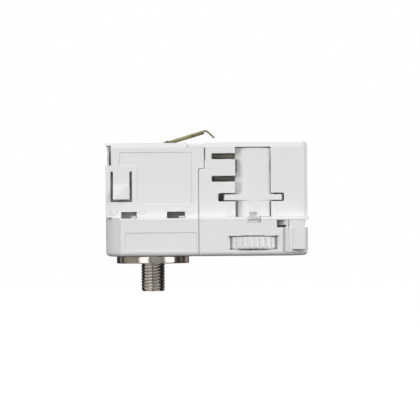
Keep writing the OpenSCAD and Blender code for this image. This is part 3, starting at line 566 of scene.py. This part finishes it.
# Nickel-plated flange and threaded tube, screwed into the left base.
def model_nipple():
    tube, neck, bore = 4.98, 4.7, 3.7
    flange, flange_top = 15.2, 3
    crest, depth, pitch = 4.995, 0.4, 1.3
    low = -11.8
    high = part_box("nipple")[1][2] / mm
    nipple = trace_profile("threaded_nipple", [
        (0, -0.3), (neck, -0.3), (neck, 0),
        (flange - 0.4, 0), (flange - 0.2, 0.03), (flange - 0.07, 0.12), (flange, 0.3),
        (flange, 0.4), (flange, 2.7), (flange, 2.8), (flange - 0.08, 2.95),
        (flange - 0.3, flange_top), (tube, flange_top),
        (tube, high - 0.6), (4.4, high), (0, high),
    ], True)
    turn_profile(nipple, 128)
    thread = screwed_thread(crest, depth, pitch, low, -0.1)
    lead_in = trace_profile("thread_end", [
        (0, low), (4.3, low), (5.2, low + 0.9), (5.2, 0.2), (0, 0.2),
    ], True)
    turn_profile(lead_in, 128)
    work_with(thread, lead_in, "INTERSECT")
    work_with(nipple, thread, "UNION")
    cable_way = trace_profile("bore", [
        (0, low - 1), (bore + 0.9, low - 0.6), (bore, low + 0.3),
        (bore, high - 0.3), (bore + 0.9, high + 0.6), (0, high + 1),
    ], True)
    turn_profile(cable_way, 64)
    work_with(nipple, cable_way, "DIFFERENCE")
    close_up(nipple, 0.001)
    smooth(nipple, 32)
    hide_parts("nipple")
    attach(nipple, "housing")
    nipple.data.materials.append(polished_nickel())


# Folded strip that presses up against the track: hooked root, channel with its sides
# turned down, and the tip arm.
def model_earth_spring():
    foot, heel, neck = (6.6, 46.8), (3.9, 46.8), (3.9, 50.08)
    start, end, top, tip = (6.95, 50.98), (21.9, 55.42), (22.73, 55.67), (26.2, 52.58)
    along = (0.9587, 0, 0.2846)
    down = (0.2846, 0, -0.9587)
    half_width, side_height, sheet_thickness = 3.2, 1.2, 0.7
    bend, side_bend = 0.75, 0.3
    start_slant, end_slant = 1.8, 0.25
    root_share = 0.69
    near = 0.1

    def at(*places):
        return lambda corner: any(math.dist((corner.x, corner.z), p) < near for p in places)

    def below(place):
        return (place[0] + side_height * down[0], place[1] + side_height * down[2])

    # The hooked root, before the channel starts.
    def in_root(corner):
        return corner.x < 6.8 and corner.z < 50.6

    # A long edge at one side of the channel.
    def side_edge(a, b):
        return (
            abs(a.y - b.y) < near and abs(a.y) > half_width - 0.2 and abs(a.x - b.x) > 9
            and min(a.x, b.x) > start[0] - near and max(a.x, b.x) < end[0] + near
        )

    # The higher one, where the channel's back turns down into its side.
    def fold_edge(a, b):
        return side_edge(a, b) and abs(a.z - b.z) > 4.2 and a.z + b.z > 105.6

    spring = trace_profile(
        "folded_earth_spring", [foot, heel, neck, start, end, top, tip], False,
    )
    pick(spring)
    select_where(spring, at(heel, neck, top))
    bpy.ops.mesh.bevel(offset=bend * mm, segments=5, affect="VERTICES")
    bpy.ops.mesh.select_all(action="SELECT")
    shift((0, -half_width, 0))
    bpy.ops.mesh.extrude_region_move(
        TRANSFORM_OT_translate={"value": (0, 2 * half_width * mm, 0)},
    )
    select_where(spring, in_root)
    bpy.ops.transform.resize(value=(1, root_share, 1), center_override=(0, 0, 0))
    select_where(spring, side_edge, "EDGE")
    bpy.ops.mesh.extrude_edges_move(
        TRANSFORM_OT_translate={"value": tuple(side_height * mm * part for part in down)},
    )
    select_where(spring, at(below(start)))
    shift(tuple(start_slant * part for part in along))
    select_where(spring, at(below(end)))
    shift(tuple(-end_slant * part for part in along))
    select_where(spring, fold_edge, "EDGE")
    bpy.ops.mesh.bevel(offset=side_bend * mm, segments=3, affect="EDGES")
    bpy.ops.object.mode_set(mode="OBJECT")
    close_up(spring, 0.001)
    sheet = spring.modifiers.new("sheet", "SOLIDIFY")
    sheet.thickness = sheet_thickness * mm
    sheet.offset = 0
    sheet.use_even_offset = True
    bpy.ops.object.modifier_apply(modifier="sheet")
    break_edges(spring, 0.1, 50)
    close_up(spring, 0.001)
    smooth(spring, 40)
    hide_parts("earth_spring")
    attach(spring, "earth_contact")
    spring.data.materials.append(rolled_metal(
        "rolled_bronze", (0.42, 0.39, 0.23), (0.19, 0.18, 0.105), 0.26, (1, 14, 1), 0.03, 420,
    ))


# A node's mesh as a new piece, merged, to be shaped further.
def shape_further(node, name):
    put_down()
    piece = bpy.data.objects.new(name, nodes[node].data.copy())
    bpy.context.scene.collection.objects.link(piece)
    close_up(piece)
    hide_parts(node)
    return piece


# The circuit wheel with both rims of its ribs broken at 45 degrees.
def bevel_wheel_rims():
    outer = drum_x + 17.6
    lower_bevel, upper_bevel = 0.7, 0.5
    low, high = (corner[2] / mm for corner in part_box("selector_wheel"))
    wheel = shape_further("selector_wheel", "ribbed_wheel")
    rim = trace_profile("wheel_rim", [
        (drum_x, low - 0.2), (outer - lower_bevel - 0.2, low - 0.2),
        (outer + 0.1, low + lower_bevel + 0.1), (outer + 0.1, high - upper_bevel - 0.1),
        (outer - upper_bevel - 0.2, high + 0.2), (drum_x, high + 0.2),
    ], True)
    turn_profile(rim, round_steps, drum_x)
    work_with(wheel, rim, "INTERSECT")
    close_up(wheel, 0.001)
    keep_flats(wheel, 24)
    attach(wheel, "selector")


# The lever with the groove beside its tab at its full depth.
def deepen_tab_groove():
    lever = shape_further("lock_lever", "grooved_lever")
    low, high = (corner[2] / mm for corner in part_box("lock_lever"))
    cut_recess(lever, (56.7, -17.6, low + 1.3), (57.3, -15.85, high + 0.2))
    close_up(lever, 0.001)
    keep_flats(lever, 15)
    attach(lever, "drum")


# The contact housing with the open upper part of the seam.
def open_upper_seam():
    housing = shape_further("contact_housing", "slotted_housing")
    cut_both_sides(housing, (21.6, -11.7, 43.1), (22.35, -10.2, 48.1))
    close_up(housing, 0.001)
    keep_flats(housing, 12)
    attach(housing, "housing")


# Trims the ledge's left end to the round end of the base below it, and closes the housing's
# wall behind the cut with a rim. The ledge reaches from left, and from low up to high.
def round_ledge_end(housing):
    left, low, high, radius = -19.7, 18, 19.3, 24.19
    rim_wall, set_back = 1.6, 0.03
    centre = left + radius
    outer = centre + radius
    plan = trace_profile("end_plan", [
        (centre, low - 0.5), (outer, low - 0.5), (outer, high + 0.5), (centre, high + 0.5),
    ], True)
    turn_profile(plan, round_steps, centre)
    overhang = straight_block((left - 0.5, -17, low - 0.1), (-13.1, 17, high))
    work_with(overhang, plan, "DIFFERENCE")
    work_with(housing, overhang, "DIFFERENCE")
    rim = trace_profile("end_rim", [
        (outer - rim_wall, low + 0.02), (outer - set_back, low + 0.02),
        (outer - set_back, high + 0.05), (outer - rim_wall, high + 0.05),
    ], True)
    turn_profile(rim, round_steps, centre)
    end = straight_block((left - 0.5, -11.4, low), (-15, 11.4, high + 0.5))
    work_with(rim, end, "INTERSECT")
    work_with(housing, rim, "UNION")


# The wiring housing with its front corner notch open to the dark chamber behind it, and a
# rib in there that keeps daylight out.
def deepen_corner_notch():
    housing = shape_further("wiring_housing", "notched_housing")
    cut_recess(housing, (-18.05, -10, 41.3), (-17.15, -3.5, 49.4))
    rib = straight_block((-18.3, -4.2, 40), (-16.8, -3.2, 49.8))
    work_with(housing, rib, "UNION")
    round_ledge_end(housing)
    close_up(housing, 0.001)
    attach(housing, "housing")


# The right base with a little room under the part of the wheel that stands out.
def clear_wheel_window():
    left, right = drum_x - 6.4, drum_x + 6.4
    base = shape_further("right_base", "grooved_base")
    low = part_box("selector_wheel")[0][2] / mm
    cut_both_sides(base, (left, -16.7, low - 0.5), (right, -14.8, low + 0.2))
    close_up(base, 0.001)
    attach(base, "housing")


place_camera()
light_studio()
lay_floor()
finish_cad_nodes()
model_nipple()
model_earth_spring()
bevel_wheel_rims()
deepen_tab_groove()
open_upper_seam()
deepen_corner_notch()
clear_wheel_window()
